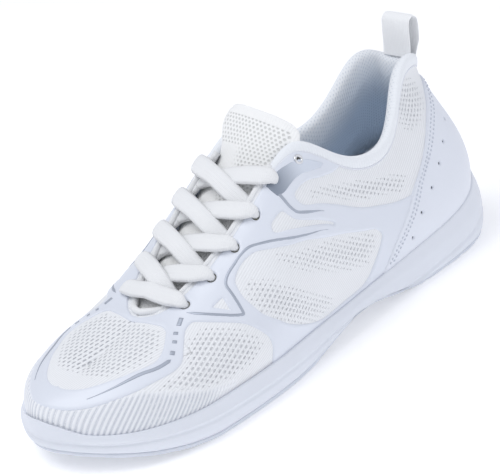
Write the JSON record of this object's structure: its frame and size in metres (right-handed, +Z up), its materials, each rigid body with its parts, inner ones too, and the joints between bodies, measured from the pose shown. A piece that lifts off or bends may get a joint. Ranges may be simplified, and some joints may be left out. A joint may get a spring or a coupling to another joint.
{
  "type": "cheer shoe",
  "caption": "Low-cut white cheer shoe for the left foot: ribbed toe, knit upper with welded film overlays, criss-cross lace, padded collar, heel pull loop and a thin flexible foam sole.",
  "frame": {"origin": "middle of the shoe's footprint box, on the ground under the sole", "axes": "+X from heel to toe, +Y to the outer side of this left shoe, +Z up"},
  "size_m": [0.2632, 0.0941, 0.1048],
  "materials": {
    "knit_mesh": "open knit, matte",
    "toe_knit": "ribbed knit, matte",
    "film_overlay": "smooth welded film, satin",
    "counter_leather": "smooth synthetic leather, satin",
    "stiffener_plastic": "moulded sheet, matte",
    "collar_lining": "soft knit lining, matte",
    "board": "stitched board, matte",
    "tongue_mesh": "spacer mesh, matte",
    "lace_knit": "flat oval knit lace, matte",
    "webbing": "woven tape, matte",
    "eyelet_metal": "bright metal",
    "midsole_foam": "moulded foam, satin",
    "outsole_rubber": "moulded rubber, satin"
  },
  "bodies": {
    "heel": {"outsole_heel": "outsole_rubber", "midsole_heel": "midsole_foam", "midsole_flex_arch": "midsole_foam", "insole": "collar_lining", "strobel_board": "board", "quarter_rear": "knit_mesh", "quarter_flex_outer": "knit_mesh", "quarter_flex_inner": "knit_mesh", "heel_counter": "counter_leather", "heel_stiffener": "stiffener_plastic", "collar_rear": "collar_lining", "collar_front_outer": "collar_lining", "collar_front_inner": "collar_lining", "pull_loop_tab": "webbing"},
    "midfoot": {"outsole_mid": "outsole_rubber", "midsole_mid": "midsole_foam", "midsole_flex_ball": "midsole_foam", "quarter_mid_outer": "knit_mesh", "quarter_mid_inner": "knit_mesh", "saddle_overlay_outer": "film_overlay", "saddle_overlay_inner": "film_overlay", "eyestay_outer": "film_overlay", "eyestay_inner": "film_overlay", "top_eyelet_outer": "eyelet_metal", "top_eyelet_inner": "eyelet_metal", "tongue_base": "tongue_mesh", "lace": "lace_knit", "vamp_flex_outer": "knit_mesh", "vamp_flex_inner": "knit_mesh"},
    "toe": {"outsole_toe": "outsole_rubber", "midsole_toe": "midsole_foam", "toe_box": "knit_mesh", "toe_wrap": "toe_knit", "toe_puff": "stiffener_plastic"},
    "tongue": {"tongue_flap": "tongue_mesh"},
    "pull_loop": {"pull_loop": "webbing"}
  },
  "joints": [
    {"name": "arch_flex", "type": "hinge", "parent": "heel", "child": "midfoot", "pos_m": [-0.0251, 0, 0.008], "axis": [0, -1, 0], "range_deg": [0, 40], "stiffness_Nm_per_rad": 1.2, "deforming": ["midsole_flex_arch", "insole", "strobel_board", "quarter_flex_outer", "quarter_flex_inner", "collar_front_outer", "collar_front_inner", "eyestay_outer", "eyestay_inner"]},
    {"name": "ball_flex", "type": "hinge", "parent": "midfoot", "child": "toe", "pos_m": [0.0569, 0, 0.005], "axis": [0, -1, 0], "range_deg": [0, 55], "stiffness_Nm_per_rad": 0.6, "deforming": ["midsole_flex_ball", "vamp_flex_outer", "vamp_flex_inner", "tongue_base", "lace"]},
    {"name": "tongue_tilt", "type": "hinge", "parent": "midfoot", "child": "tongue", "pos_m": [-0.0021, 0, 0.078], "axis": [0, 1, 0], "range_deg": [-20, 30], "stiffness_Nm_per_rad": 0.02},
    {"name": "pull_loop_tip", "type": "hinge", "parent": "heel", "child": "pull_loop", "pos_m": [-0.1141, 0, 0.089], "axis": [0, 1, 0], "range_deg": [-55, 40], "stiffness_Nm_per_rad": 0.01}
  ]
}
